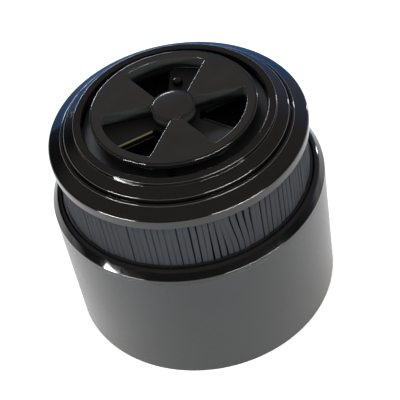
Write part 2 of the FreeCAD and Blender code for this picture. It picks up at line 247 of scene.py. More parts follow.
HUB_RECESS_Z = 103.0
HUB_EDGE_Z = 104.6
HUB_CROWN_Z = 105.1
HUB_EDGE_ROUND = 0.6
HUB_DOME_ROUND = 60.0
COUNTERBORE = 6.05
PIVOT_BORE = 3.06


# Scene


def aim_camera():
    """Stand the camera where the photograph was taken from, tilted as the photograph is."""
    data = bpy.data.cameras.new("photo_camera")
    data.sensor_width = CAMERA_SENSOR
    data.lens = CAMERA_LENS
    data.clip_start = CAMERA_NEAR * MM
    camera = bpy.data.objects.new("photo_camera", data)
    place = Vector(CAMERA_PLACE) * MM
    ahead = Vector(CAMERA_TARGET) * MM - place
    level = ahead.to_track_quat("-Z", "Y").to_matrix().to_4x4()
    roll = Matrix.Rotation(math.radians(-CAMERA_ROLL), 4, "Z")
    camera.matrix_world = Matrix.Translation(place) @ level @ roll
    bpy.context.scene.collection.objects.link(camera)
    bpy.context.scene.camera = camera


def srgb(hex_colour):
    """Linear colour from an sRGB hex value."""
    parts = [int(hex_colour[i:i + 2], 16) / 255 for i in (1, 3, 5)]
    linear = [p / 12.92 if p <= 0.04045 else ((p + 0.055) / 1.055) ** 2.4 for p in parts]
    return (*linear, 1.0)


def add(tree, kind, inputs=None, **settings):
    """Add a node with its settings, and set or link each of its inputs."""
    made = tree.nodes.new("ShaderNode" + kind)
    for key, value in settings.items():
        setattr(made, key, value)
    for key, value in (inputs or {}).items():
        if isinstance(value, bpy.types.NodeSocket):
            tree.links.new(value, made.inputs[key])
        else:
            made.inputs[key].default_value = value
    return made


def start_material(name):
    """Empty node material; gives it, its node tree and the place on the piece."""
    made = bpy.data.materials.new(name)
    made.use_nodes = True
    tree = made.node_tree
    tree.nodes.clear()
    return made, tree, add(tree, "TexCoord").outputs["Object"]


def end_material(tree, sockets):
    """Principled shader at the end of a material's tree, with its inputs set or linked."""
    shader = add(tree, "BsdfPrincipled", sockets)
    add(tree, "OutputMaterial", {"Surface": shader.outputs["BSDF"]})


def softbox(name, place, size, watts, colour):
    """Rectangular soft light on the filter, unseen by the camera."""
    data = bpy.data.lights.new(name, "AREA")
    data.shape = "RECTANGLE"
    data.size, data.size_y = size
    data.energy = watts
    data.color = srgb(colour)[:3]
    light = bpy.data.objects.new(name, data)
    place = Vector(place)
    facing = (place - Vector(LAMP_AIM)).to_track_quat("Z", "Y").to_matrix().to_4x4()
    light.matrix_world = Matrix.Translation(place) @ facing
    light.visible_camera = False
    bpy.context.scene.collection.objects.link(light)


def seen_directly(tree):
    """Socket that is 1 for camera, glossy and transmission rays."""
    path = add(tree, "LightPath")
    eye = add(tree, "Math", {0: path.outputs["Is Camera Ray"], 1: path.outputs["Is Glossy Ray"]},
              operation="MAXIMUM")
    both = add(tree, "Math", {0: eye.outputs[0], 1: path.outputs["Is Transmission Ray"]},
               operation="MAXIMUM")
    return both.outputs[0]


def light_studio():
    """White horizon under dark walls, paler at the back right and overhead; a fill; the lamps."""
    world = bpy.data.worlds.new("studio")
    world.use_nodes = True
    tree = world.node_tree
    tree.nodes.clear()
    toward = add(tree, "SeparateXYZ", {0: add(tree, "TexCoord").outputs["Generated"]})
    corner = add(tree, "Math", {0: toward.outputs["X"], 1: DUSK_SLANT, 2: toward.outputs["Y"]},
                 operation="MULTIPLY_ADD")
    turn = add(tree, "MapRange", {"Value": corner.outputs[0],
                                  "From Min": DUSK_FADE[0], "From Max": DUSK_FADE[1]})
    dusk = add(tree, "Mix", {0: turn.outputs[0], 6: srgb("#2A2826"), 7: srgb("#8E98B0")},
               data_type="RGBA")
    climb = add(tree, "MapRange", {"Value": toward.outputs["Z"],
                                   "From Min": 0.0, "From Max": HORIZON_FADE},
                interpolation_type="SMOOTHSTEP")
    walls = add(tree, "Mix", {0: climb.outputs[0], 6: srgb("#FFFFFF"), 7: dusk.outputs[2]},
                data_type="RGBA")
    top = add(tree, "MapRange", {"Value": toward.outputs["Z"],
                                 "From Min": CEILING_FADE[0], "From Max": CEILING_FADE[1]},
              interpolation_type="SMOOTHSTEP")
    room = add(tree, "Mix", {0: top.outputs[0], 6: walls.outputs[2], 7: srgb("#857D77")},
               data_type="RGBA")
    backdrop = add(tree, "Background", {"Color": room.outputs[2], "Strength": 1.0})
    fill = add(tree, "Background", {"Color": srgb("#F2F5FA"), "Strength": FILL})
    either = add(tree, "MixShader", {0: seen_directly(tree), 1: fill.outputs[0],
                                     2: backdrop.outputs[0]})
    add(tree, "OutputWorld", {"Surface": either.outputs[0]})
    bpy.context.scene.world = world
    for lamp in LAMPS:
        softbox(*lamp)


def flat_sheet(name, place, material):
    """Sheet from -1 to 1 each way, brought to its size and place by a matrix."""
    bm = bmesh.new()
    bmesh.ops.create_grid(bm, x_segments=1, y_segments=1, size=1.0, matrix=place)
    mesh = bpy.data.meshes.new(name)
    bm.to_mesh(mesh)
    bm.free()
    mesh.materials.append(material)
    sheet = bpy.data.objects.new(name, mesh)
    bpy.context.scene.collection.objects.link(sheet)
    return sheet


def lay_floor():
    """Pale floor that stays white to the eye and keeps the filter's shadow."""
    made, tree, _ = start_material("pale floor paper")
    end_material(tree, {"Roughness": 0.9, "Base Color": srgb("#F6F6F6"),
                        "Emission Color": srgb("#B8B3AC"),
                        "Emission Strength": seen_directly(tree)})
    floor = flat_sheet("floor", Matrix.Diagonal((FLOOR_REACH, FLOOR_REACH, 1, 1)), made)


def stand_backing_card():
    """Blue card across the back, beyond the picture, that only the rear edges' reflections show."""
    made, tree, _ = start_material("blue card")
    end_material(tree, {"Roughness": 0.9, "Base Color": srgb("#467AB0")})
    width, height = CARD_SIZE
    upright = Matrix.Rotation(TURN / 4, 4, "X") @ Matrix.Diagonal((width / 2, height / 2, 1, 1))
    card = flat_sheet("backing_card",
                      Matrix.Translation((0, CARD_DISTANCE, height / 2)) @ upright, made)
    card.visible_camera = False
    card.visible_diffuse = False
    card.visible_shadow = False


# Materials


def satin_drum_plastic():
    """Satin ABS from a spark-eroded mould: a fine grain turns reflections into a soft sheen."""
    made, tree, here = start_material("satin moulded ABS")
    grain = add(tree, "TexNoise", {"Vector": here, "Scale": 1 / (0.35 * MM), "Detail": 2.0})
    cloud = add(tree, "TexNoise", {"Vector": here, "Scale": 1 / (22 * MM), "Detail": 3.0})
    tone = add(tree, "Mix", {0: cloud.outputs["Fac"], 6: srgb("#17191B"), 7: srgb("#1D1F21")},
               data_type="RGBA")
    sheen = add(tree, "MapRange", {"Value": cloud.outputs["Fac"], "To Min": 0.24, "To Max": 0.32})
    bump = add(tree, "Bump", {"Height": grain.outputs["Fac"], "Strength": 0.12,
                              "Distance": 0.1 * MM})
    end_material(tree, {"IOR": 1.47, "Base Color": tone.outputs[2], "Roughness": sheen.outputs[0],
                        "Normal": bump.outputs[0]})
    return made


def gloss_plastic():
    """Polished ABS: near-black and wet-looking, with slow sink waves and a trace of haze."""
    made, tree, here = start_material("polished moulded ABS")
    waves = add(tree, "TexNoise", {"Vector": here, "Scale": 1 / (9 * MM), "Detail": 1.0})
    haze = add(tree, "TexNoise", {"Vector": here, "Scale": 1 / (1.6 * MM), "Detail": 5.0,
                                  "Roughness": 0.7})
    tone = add(tree, "Mix", {0: haze.outputs["Fac"], 6: srgb("#070707"), 7: srgb("#0D0C0C")},
               data_type="RGBA")
    wear = add(tree, "MapRange", {"Value": haze.outputs["Fac"], "From Min": 0.35, "From Max": 0.75,
                                  "To Min": 0.05, "To Max": 0.11})
    bump = add(tree, "Bump", {"Height": waves.outputs["Fac"], "Strength": 0.08,
                              "Distance": 0.3 * MM})
    end_material(tree, {"IOR": 1.54, "Base Color": tone.outputs[2], "Roughness": wear.outputs[0],
                        "Normal": bump.outputs[0]})
    return made


def dial_plastic():
    """Textured ABS of the dial: warm dark grey, its fine grain dulls it to a low sheen."""
    made, tree, here = start_material("fine-grained moulded ABS")
    grain = add(tree, "TexNoise", {"Vector": here, "Scale": 1 / (0.4 * MM), "Detail": 2.0})
    cloud = add(tree, "TexNoise", {"Vector": here, "Scale": 1 / (8 * MM), "Detail": 4.0})
    tone = add(tree, "Mix", {0: cloud.outputs["Fac"], 6: srgb("#1F1E1C"), 7: srgb("#282725")},
               data_type="RGBA")
    sheen = add(tree, "MapRange", {"Value": cloud.outputs["Fac"], "To Min": 0.10, "To Max": 0.17})
    bump = add(tree, "Bump", {"Height": grain.outputs["Fac"], "Strength": 0.1,
                              "Distance": 0.06 * MM})
    end_material(tree, {"IOR": 1.5, "Base Color": tone.outputs[2], "Roughness": sheen.outputs[0],
                        "Normal": bump.outputs[0]})
    return made


def window_wall_plastic():
    """The same ABS on the drafted walls of the windows, left duller by the mould."""
    made, tree, here = start_material("matt moulded ABS")
    cloud = add(tree, "TexNoise", {"Vector": here, "Scale": 1 / (2.5 * MM), "Detail": 4.0})
    tone = add(tree, "Mix", {0: cloud.outputs["Fac"], 6: srgb("#1F2120"), 7: srgb("#2B2E2D")},
               data_type="RGBA")
    bump = add(tree, "Bump", {"Height": cloud.outputs["Fac"], "Strength": 0.1,
                              "Distance": 0.05 * MM})
    end_material(tree, {"IOR": 1.5, "Roughness": 0.32, "Base Color": tone.outputs[2],
                        "Normal": bump.outputs[0]})
    return made


def plate_plastic():
    """Semi-gloss acetal of the port plate: dark, with faint turning marks from the dial's wear."""
    made, tree, here = start_material("sliding acetal")
    spot = add(tree, "SeparateXYZ", {0: here})
    across = add(tree, "Math", {0: spot.outputs["X"], 1: spot.outputs["X"]}, operation="MULTIPLY")
    along = add(tree, "Math", {0: spot.outputs["Y"], 1: spot.outputs["Y"], 2: across.outputs[0]},
                operation="MULTIPLY_ADD")
    radius = add(tree, "Math", {0: along.outputs[0]}, operation="SQRT")
    rings = add(tree, "TexNoise", {"W": radius.outputs[0], "Scale": 1 / (0.5 * MM),
                                   "Detail": 3.0}, noise_dimensions="1D")
    tone = add(tree, "Mix", {0: rings.outputs["Fac"], 6: srgb("#1C1B1B"), 7: srgb("#2A2928")},
               data_type="RGBA")
    sheen = add(tree, "MapRange", {"Value": rings.outputs["Fac"], "To Min": 0.28, "To Max": 0.5})
    bump = add(tree, "Bump", {"Height": rings.outputs["Fac"], "Strength": 0.1,
                              "Distance": 0.05 * MM})
    end_material(tree, {"IOR": 1.4, "Base Color": tone.outputs[2], "Roughness": sheen.outputs[0],
                        "Normal": bump.outputs[0]})
    return made


def pleated_paper_fibre():
    """Resin-treated filter paper: matt grey felt of fine fibres, paler where the folds rub."""
    made, tree, here = start_material("resin-treated filter paper")
    fibres = add(tree, "TexNoise", {"Vector": here, "Scale": 1 / (0.6 * MM), "Detail": 4.0,
                                    "Roughness": 0.7})
    tall = add(tree, "Mapping", {"Vector": here, "Scale": (1.0, 1.0, 0.08)})
    streaks = add(tree, "TexNoise", {"Vector": tall.outputs[0], "Scale": 1 / (2.4 * MM),
                                     "Detail": 2.0})
    both = add(tree, "Mix", {0: 0.45, 2: fibres.outputs["Fac"], 3: streaks.outputs["Fac"]})
    tone = add(tree, "Mix", {0: both.outputs[0], 6: srgb("#1B1D20"), 7: srgb("#2A2D31")},
               data_type="RGBA")
    bump = add(tree, "Bump", {"Height": fibres.outputs["Fac"], "Strength": 0.35,
                              "Distance": 0.15 * MM})
    end_material(tree, {"IOR": 1.33, "Roughness": 0.85, "Base Color": tone.outputs[2],
                        "Normal": bump.outputs[0]})
    return made


def soft_rubber():
    """Nitrile rubber: dull black with a faint pale bloom."""
    made, tree, here = start_material("nitrile rubber")
    bloom = add(tree, "TexNoise", {"Vector": here, "Scale": 1 / (1.2 * MM), "Detail": 3.0})
    tone = add(tree, "Mix", {0: bloom.outputs["Fac"], 6: srgb("#151515"), 7: srgb("#242424")},
               data_type="RGBA")
    bump = add(tree, "Bump", {"Height": bloom.outputs["Fac"], "Strength": 0.2,
                              "Distance": 0.05 * MM})
    end_material(tree, {"IOR": 1.5, "Roughness": 0.7, "Base Color": tone.outputs[2],
                        "Normal": bump.outputs[0]})
    return made


def dull_polypropylene():
    """Black polypropylene of the inner parts: waxy and dull, with a soft flow pattern."""
    made, tree, here = start_material("moulded polypropylene")
    flow = add(tree, "TexNoise", {"Vector": here, "Scale": 1 / (6 * MM), "Detail": 4.0})
    tone = add(tree, "Mix", {0: flow.outputs["Fac"], 6: srgb("#1B1C1D"), 7: srgb("#282A2B")},
               data_type="RGBA")
    sheen = add(tree, "MapRange", {"Value": flow.outputs["Fac"], "To Min": 0.5, "To Max": 0.68})
    bump = add(tree, "Bump", {"Height": flow.outputs["Fac"], "Strength": 0.1, "Distance": 0.1 * MM})
    end_material(tree, {"IOR": 1.49, "Base Color": tone.outputs[2], "Roughness": sheen.outputs[0],
                        "Normal": bump.outputs[0]})
    return made


def open_foam():
    """Reticulated polyester foam: charcoal strands round open cells about 1.5 mm across, the cell
    hollows near black as painted shade.
    """
    made, tree, here = start_material("reticulated foam")
    cells = add(tree, "TexVoronoi", {"Vector": here, "Scale": 1 / (1.5 * MM)},
                feature="DISTANCE_TO_EDGE")
    walls = add(tree, "MapRange", {"Value": cells.outputs["Distance"], "From Max": 0.25})
    # Painted shade: the tone runs from charcoal at the cell walls to near black in the cell
    # hollows.
    tone = add(tree, "Mix", {0: walls.outputs[0], 6: srgb("#191A1B"), 7: srgb("#060606")},
               data_type="RGBA")
    bump = add(tree, "Bump", {"Height": walls.outputs[0], "Strength": 1.0,
                              "Distance": 0.6 * MM}, invert=True)
    end_material(tree, {"IOR": 1.45, "Roughness": 0.95, "Base Color": tone.outputs[2],
                        "Normal": bump.outputs[0]})
    return made


def potting_resin():
    """Polyurethane potting: grey, poured, with a few small bubbles, darker in their pits as painted
    shade.
    """
    made, tree, here = start_material("poured polyurethane")
    bubbles = add(tree, "TexVoronoi", {"Vector": here, "Scale": 1 / (2.5 * MM)})
    bubble_pit_and_shade = add(tree, "MapRange", {"Value": bubbles.outputs["Distance"],
                                 "From Min": 0.05, "From Max": 0.2})
    # Painted shade: the tone darkens into each bubble pit, the same mask that sinks the pit.
    tone = add(tree, "Mix", {0: bubble_pit_and_shade.outputs[0], 6: srgb("#2A2A28"), 7: srgb("#55544E")},
               data_type="RGBA")
    bump = add(tree, "Bump", {"Height": bubble_pit_and_shade.outputs[0], "Strength": 0.5, "Distance": 0.2 * MM})
    end_material(tree, {"IOR": 1.5, "Roughness": 0.45, "Base Color": tone.outputs[2],
                        "Normal": bump.outputs[0]})
    return made


def amber_highlight_silicone():
    """Yellow-olive silicone on the lips of one wiper strip, painting the yellow highlight lines of
    the port edge; slightly see-through at its edge, with fine flow marks.
    """
    made, tree, here = start_material("amber highlight silicone")
    marks = add(tree, "TexNoise", {"Vector": here, "Scale": 1 / (0.8 * MM), "Detail": 3.0})
    tone = add(tree, "Mix", {0: marks.outputs["Fac"], 6: srgb("#8F8D45"), 7: srgb("#C4C07A")},
               data_type="RGBA")
    bump = add(tree, "Bump", {"Height": marks.outputs["Fac"], "Strength": 0.15,
                              "Distance": 0.05 * MM})
    end_material(tree, {"IOR": 1.41, "Roughness": 0.35, "Subsurface Weight": 0.1,
                        "Base Color": tone.outputs[2], "Normal": bump.outputs[0]})
    return made


def screw_steel():
    """Cold-headed stainless steel: bright, with fine drawn marks."""
    made, tree, here = start_material("stainless steel")
    drawn = add(tree, "TexNoise", {"Vector": here, "Scale": 1 / (0.3 * MM), "Detail": 4.0})
    tone = add(tree, "Mix", {0: drawn.outputs["Fac"], 6: srgb("#A9A9A6"), 7: srgb("#C9C8C4")},
               data_type="RGBA")
    wear = add(tree, "MapRange", {"Value": drawn.outputs["Fac"], "To Min": 0.25, "To Max": 0.4})
    end_material(tree, {"Metallic": 1.0, "Base Color": tone.outputs[2],
                        "Roughness": wear.outputs[0]})
    return made


def blackened_steel():
    """Steel blackened in an oxide bath: satin, nearly black and slightly brown."""
    made, tree, here = start_material("black-oxide steel")
    drawn = add(tree, "TexNoise", {"Vector": here, "Scale": 1 / (0.3 * MM), "Detail": 4.0})
    tone = add(tree, "Mix", {0: drawn.outputs["Fac"], 6: srgb("#1C1A19"), 7: srgb("#2E2A27")},
               data_type="RGBA")
    wear = add(tree, "MapRange", {"Value": drawn.outputs["Fac"], "To Min": 0.35, "To Max": 0.55})
    end_material(tree, {"Metallic": 1.0, "Base Color": tone.outputs[2],
                        "Roughness": wear.outputs[0]})
    return made


def washer_nylon():
    """Natural nylon: milky white, smooth and a little waxy."""
    made, tree, here = start_material("natural nylon")
    milk = add(tree, "TexNoise", {"Vector": here, "Scale": 1 / (1.0 * MM), "Detail": 2.0})
    tone = add(tree, "Mix", {0: milk.outputs["Fac"], 6: srgb("#D9D6CC"), 7: srgb("#ECEAE2")},
               data_type="RGBA")
    end_material(tree, {"IOR": 1.53, "Roughness": 0.4, "Subsurface Weight": 0.15,
                        "Base Color": tone.outputs[2]})
    return made


SATIN = satin_drum_plastic()
GLOSS = gloss_plastic()
DIAL = dial_plastic()
WINDOW_SIDE = window_wall_plastic()
PLATE = plate_plastic()
PAPER_FELT = pleated_paper_fibre()
RUBBER = soft_rubber()
DULL = dull_polypropylene()
FOAM = open_foam()
RESIN = potting_resin()
AMBER_HIGHLIGHT = amber_highlight_silicone()
STEEL = screw_steel()
BLACK_STEEL = blackened_steel()
NYLON = washer_nylon()


# Shaping


def finish_piece(bm, name, body, slot, material, *nodes):
    """Close a mesh and put it in the scene as a piece on a body, in place of CAD nodes."""
    bmesh.ops.remove_doubles(bm, verts=bm.verts, dist=MERGE)
    bmesh.ops.recalc_face_normals(bm, faces=bm.faces)
    mesh = bpy.data.meshes.new(name)
    bm.to_mesh(mesh)
    bm.free()
    mesh.shade_smooth()
    mesh.set_sharp_from_angle(angle=math.radians(SHARP_ANGLE))
    mesh.materials.append(material)
    piece = bpy.data.objects.new(name, mesh)
    bpy.context.scene.collection.objects.link(piece)
    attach(piece, body)
    if nodes:
        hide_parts(*nodes)
    return piece


def even_gloss(piece):
    """Let the large faces hold their reflections flat up to the small rounded edges."""
    weighted = piece.modifiers.new("even_gloss", "WEIGHTED_NORMAL")
    weighted.keep_sharp = True


def polar(radius, degrees, height=0.0):
    """Point at a radius and an angle about the filter's axis, in metres."""
    angle = math.radians(degrees)
    return Vector((radius * math.cos(angle), radius * math.sin(angle), height)) * MM


def round_corner(bm, vert, radius, segments=4):
    """Round a corner of a line by an arc that touches both its sides."""
    first, second = [edge.other_vert(vert).co - vert.co for edge in vert.link_edges]
    reach = radius * MM / math.tan(first.angle(second) / 2)
    bmesh.ops.bevel(bm, geom=[vert], offset=reach, offset_type="OFFSET", affect="VERTICES",
                    segments=segments, profile=0.5, material=-1)


def draw_line(bm, points, closed):
    """Line through points; gives its corners."""
    corners = [bm.verts.new(point) for point in points]
    for one, other in zip(corners, corners[1:]):
        bm.edges.new((one, other))
    if closed:
        bm.edges.new((corners[-1], corners[0]))
    return corners


def spin_line(bm, geometry, steps=TURN_STEPS):
    """Turn a line once about the filter's axis."""
    bmesh.ops.spin(bm, geom=geometry, cent=(0, 0, 0), axis=UP, dvec=(0, 0, 0), angle=TURN,
                   steps=steps, use_merge=True, use_duplicate=False)


def turn_profile(bm, profile, closed=False, steps=TURN_STEPS):
    """Turn a profile of (radius, height, rounding) corners; gives the edges of its open ends."""
    before = set(bm.edges)
    corners = draw_line(bm, [Vector((r, 0, z)) * MM for r, z, _ in profile], closed)
    for corner, (_, _, rounding) in zip(corners, profile):
        if rounding:
            round_corner(bm, corner, rounding)
    line = [edge for edge in bm.edges if edge not in before]
    spin_line(bm, list({vert for edge in line for vert in edge.verts}) + line, steps)
    return [edge for edge in bm.edges if edge not in before and edge.is_boundary]


def turned_piece(name, profile, body, slot, material, *nodes):
    """Piece that is one turned solid."""
    bm = bmesh.new()
    turn_profile(bm, profile, closed=True)
    piece = finish_piece(bm, name, body, slot, material, *nodes)
    even_gloss(piece)
    return piece


def arc(bm, start, degrees, steps):
    """Arc about the filter's axis from a corner; gives its last vertex."""
    made = bmesh.ops.spin(bm, geom=[start], cent=(0, 0, 0), axis=UP, dvec=(0, 0, 0),
                          angle=math.radians(degrees), steps=steps, use_merge=False,
                          use_duplicate=False)
    return [item for item in made["geom_last"] if isinstance(item, bmesh.types.BMVert)][0]


def edge_lead(radius, relief):
    """Angle at which a line beside a wedge's side, relief outside it, crosses a radius."""
    return math.degrees(math.asin(relief / radius))


def sector_line(bm, middle, wedge, relief, inner, outer, corner, height):
    """Closed line round a window or port: two arcs, and two sides beside a wedge's sides."""
    before = set(bm.edges)
    outer_half = wedge / 2 + edge_lead(outer, relief)
    inner_half = wedge / 2 + edge_lead(inner, relief)
    outer_right = bm.verts.new(polar(outer, middle - outer_half, height))
    outer_left = arc(bm, outer_right, 2 * outer_half, WINDOW_OUTER_STEPS)
    inner_left = bm.verts.new(polar(inner, middle + inner_half, height))
    inner_right = arc(bm, inner_left, -2 * inner_half, WINDOW_INNER_STEPS)
    bm.edges.new((outer_left, inner_left))
    bm.edges.new((inner_right, outer_right))
    for vert in (outer_right, outer_left, inner_left, inner_right):
        round_corner(bm, vert, corner, WINDOW_CORNER_STEPS)
    return [edge for edge in bm.edges if edge not in before]


def windows_line(bm, grow, height):
    """Lines round the dial's three windows, grown outward by a margin, one list of edges each."""
    lines = []
    for index in range(SECTORS):
        middle = FIRST_WINDOW + index * 360 / SECTORS
        lines.append(sector_line(bm, middle, WINDOW_WEDGE, WINDOW_RELIEF + grow, HUB_RADIUS - grow,
                                 WINDOW_RADIUS + grow, WINDOW_CORNER + grow, height))
    return lines


def bridge_down(bm, rows):
    """Skin between each loop of edges and the next one below it; gives the last skin's faces."""
    for upper, lower in zip(rows, rows[1:]):
        faces = bmesh.ops.bridge_loops(bm, edges=upper + lower)["faces"]
    return faces


def fill_flat(bm, edges):
    """Flat face between an outer loop and the loops inside it."""
    bmesh.ops.triangle_fill(bm, use_beauty=True, use_dissolve=False, edges=edges, normal=UP)


def at(edges, radius, height):
    """Those edges that lie on one circle."""
    found = []
    for edge in edges:
        one, other = (vert.co for vert in edge.verts)
        level = max(abs(one.z - height * MM), abs(other.z - height * MM)) < MERGE
        if level and abs(one.xy.length - radius * MM) < MERGE:
            found.append(edge)
    return found


# Drum


def make_drum():
    """Satin cup with its raised floor, seat ribs and guide ribs."""
    bm = bmesh.new()
    turn_profile(bm, [
        (0, UNDER_Z, 0),
        (FOOT_INNER, UNDER_Z, FOOT_ROUND),
        (FOOT_INNER, FOOT_Z, FOOT_ROUND),
        (BASE_RING_INNER, FOOT_Z, 0),
        (BASE_RING_INNER, BASE_RING_TOP, 0),
        (BASE_RING_OUTER, BASE_RING_TOP, 0),
        (BASE_RING_OUTER, FOOT_Z, 0),
        (DRUM_RADIUS, FOOT_Z, DRUM_EDGE),
        (DRUM_RADIUS, MOUTH_Z, MOUTH_ROUND),
        (DRUM_BORE, MOUTH_Z, MOUTH_ROUND),
        (DRUM_BORE, FLOOR_Z, DRUM_EDGE),
        (0, FLOOR_Z, 0),
    ])
    foot = FLOOR_Z - RIB_SUNK
    for index in range(RIB_COUNT):
        turn = Matrix.Rotation(index * TURN / RIB_COUNT, 4, "Z")
        for (inner, outer), top in ((SEAT_RIB, SEAT_Z), (GUIDE_RIB, GUIDE_TOP)):
            size = Matrix.Diagonal(((outer - inner) * MM, RIB_THICKNESS * MM, (top - foot) * MM, 1))
            place = Matrix.Translation(((outer + inner) / 2 * MM, 0, (top + foot) / 2 * MM))
            bmesh.ops.create_cube(bm, size=1, matrix=turn @ place @ size)
    even_gloss(finish_piece(bm, "drum_shell", "canister", "satin_drum", SATIN, "drum"))


def make_rim():
    """Glossy crowned ring on the mouth, with its seal and the ring under the foot."""
    groove_half = SEAL_SECTION / 2 + SEAL_PLAY
    turned_piece("rim_crown", [
        (DRUM_RADIUS, MOUTH_Z, HAIR_ROUND),
        (DRUM_RADIUS, RIM_EDGE_Z, RIM_EDGE_ROUND),
        (RIM_TOP_RADIUS, RIM_TOP_Z, RIM_CROWN_ROUND),
        (RIM_BORE, RIM_TOP_Z, RIM_LIP_ROUND),
        (RIM_BORE, SEAL_Z + groove_half, HAIR_ROUND),
        (SEAL_GROOVE, SEAL_Z + groove_half, 0),
        (SEAL_GROOVE, SEAL_Z - groove_half, 0),
        (RIM_BORE, SEAL_Z - groove_half, HAIR_ROUND),
        (RIM_BORE, SPIGOT_Z, SPIGOT_ROUND),
        (SPIGOT_RADIUS, SPIGOT_Z, SPIGOT_ROUND),
        (SPIGOT_RADIUS, MOUTH_Z, 0),
    ], "canister", "gloss_black", GLOSS, "rim_ring")
    bm = bmesh.new()
    upright = Matrix.Rotation(TURN / 4, 4, "X")
    section = bmesh.ops.create_circle(
        bm, segments=SEAL_STEPS, radius=SEAL_SECTION / 2 * MM, cap_ends=False,
        matrix=Matrix.Translation((SEAL_MIDDLE * MM, 0, SEAL_Z * MM)) @ upright)["verts"]
    spin_line(bm, section + list({edge for vert in section for edge in vert.link_edges}))
    finish_piece(bm, "mouth_seal_ring", "canister", "soft_black", RUBBER, "mouth_seal")
    turned_piece("foot_ring", [
        (BASE_RING_INNER, 0, BASE_RING_ROUND),
        (BASE_RING_OUTER, 0, BASE_RING_ROUND),
        (BASE_RING_OUTER, BASE_RING_TOP, HAIR_ROUND),
        (BASE_RING_INNER, BASE_RING_TOP, HAIR_ROUND),
    ], "canister", "soft_black", RUBBER, "base_ring")


# Cartridge


def fold_outline(bm):
    """One pleat's line in plan: up from the fold at the root, round the wide tip, and back."""
    pitch = 360 / PLEAT_COUNT
    half = (pitch - math.degrees(PLEAT_GAP / PLEAT_RADIUS)) / 2
    points = [polar(radius, angle, PLEAT_FOOT) for radius, angle in (
        (PLEAT_ROOT, -pitch / 2), (PLEAT_ROOT, -half), (PLEAT_RADIUS, -half),
        (PLEAT_RADIUS, half), (PLEAT_ROOT, half), (PLEAT_ROOT, pitch / 2))]
    corners = draw_line(bm, points, closed=False)
    for corner in corners[2:4]:
        round_corner(bm, corner, PLEAT_CORNER, 2)


def lean_pleats(bm):
    """Shift, lean and spread each pleat's tip by chance amounts; crush a few and press some."""
    chance = random.Random(CHANCE_SEED)
    shifts = [chance.gauss(0, SHIFT) for _ in range(PLEAT_COUNT)]
    leans = [chance.gauss(0, LEAN) for _ in range(PLEAT_COUNT)]
    sways = [chance.gauss(0, SWAY) for _ in range(PLEAT_COUNT)]
    spreads = [chance.uniform(*SPREAD) for _ in range(PLEAT_COUNT)]
    tips = [chance.uniform(-TIP_DEPTH, 0) for _ in range(PLEAT_COUNT)]
    pitch = TURN / PLEAT_COUNT
    for vert in bm.verts:
        angle = math.atan2(vert.co.y, vert.co.x) % TURN
        index = round(angle / pitch) % PLEAT_COUNT
        height = vert.co.z / MM
        rise = (height - PLEAT_FOOT) / (PLEAT_TOP - PLEAT_FOOT)
        above_rim = min(max((height - RIM_TOP_Z) / (PLEAT_TOP - RIM_TOP_Z), 0), 1)
        reach = (vert.co.xy.length / MM - PLEAT_ROOT) / (PLEAT_RADIUS - PLEAT_ROOT)
        crushed = math.exp(-((index - CRUSHED_PLEAT) / CRUSHED_WIDTH) ** 2)
        pressed = math.exp(-((index - PRESSED_PLEAT) / PRESSED_WIDTH) ** 2)
        turn = (shifts[index] + leans[index] * (2 * rise - 1)
                + sways[index] * math.sin(SWAY_WAVES * rise + index)
                + CRUSH * crushed * math.cos(math.pi * above_rim))
        spread = spreads[index] + (PRESSED_SPREAD - spreads[index]) * pressed
        across = (angle - index * pitch + math.pi) % TURN - math.pi
        turn = math.radians(turn * (1 - PRESSED_CALM * pressed)) + across * (spread - 1)
        shrink = 1 + tips[index] * reach / PLEAT_RADIUS
        place = Matrix.Rotation(turn * reach, 3, "Z") @ vert.co
        vert.co = Vector((place.x * shrink, place.y * shrink, place.z))


def make_pleats():
    """Folded filter paper, drawn as one fold, spun round, pulled up and given its thickness."""
    bm = bmesh.new()
    fold_outline(bm)
    bmesh.ops.spin(bm, geom=bm.verts[:] + bm.edges[:], cent=(0, 0, 0), axis=UP, dvec=(0, 0, 0),
                   angle=TURN, steps=PLEAT_COUNT, use_merge=False, use_duplicate=True)
    bmesh.ops.remove_doubles(bm, verts=bm.verts, dist=FOLD_MERGE)
    row = bm.edges[:]
    lift = Vector((0, 0, (PLEAT_TOP - PLEAT_FOOT) / PLEAT_STAGES * MM))
    for _ in range(PLEAT_STAGES):
        made = bmesh.ops.extrude_edge_only(bm, edges=row)["geom"]
        raised = [item for item in made if isinstance(item, bmesh.types.BMVert)]
        bmesh.ops.translate(bm, verts=raised, vec=lift)
        row = [item for item in made if isinstance(item, bmesh.types.BMEdge)]
    lean_pleats(bm)
    piece = finish_piece(bm, "pleat_folds", "cartridge", "filter_paper", PAPER_FELT,
                         "pleated_media")
    sheet = piece.modifiers.new("paper_thickness", "SOLIDIFY")
    sheet.thickness = PAPER * MM
    sheet.offset = -1


def make_cartridge_ends():
    """Collar round the middle of the pleats and the cup under them."""
    turned_piece("seal_band", [
        (PLEAT_RADIUS, COLLAR_FOOT, 0),
        (CARTRIDGE_RADIUS, COLLAR_FOOT, COLLAR_ROUND),
        (CARTRIDGE_RADIUS, COLLAR_TOP, COLLAR_ROUND),
        (PLEAT_RADIUS, COLLAR_TOP, HAIR_ROUND),
    ], "cartridge", "dull_black", DULL, "sealing_collar")
    turned_piece("end_cup", [
        (0, SEAT_Z, 0),
        (CARTRIDGE_RADIUS, SEAT_Z, END_CAP_ROUND),
        (CARTRIDGE_RADIUS, END_CAP_TOP, END_CAP_LIP_ROUND),
        (CARTRIDGE_RADIUS - END_CAP_WALL, END_CAP_TOP, END_CAP_LIP_ROUND),
        (CARTRIDGE_RADIUS - END_CAP_WALL, END_CAP_FLOOR, 0),
        (0, END_CAP_FLOOR, 0),
    ], "cartridge", "dull_black", DULL, "bottom_end_cap")


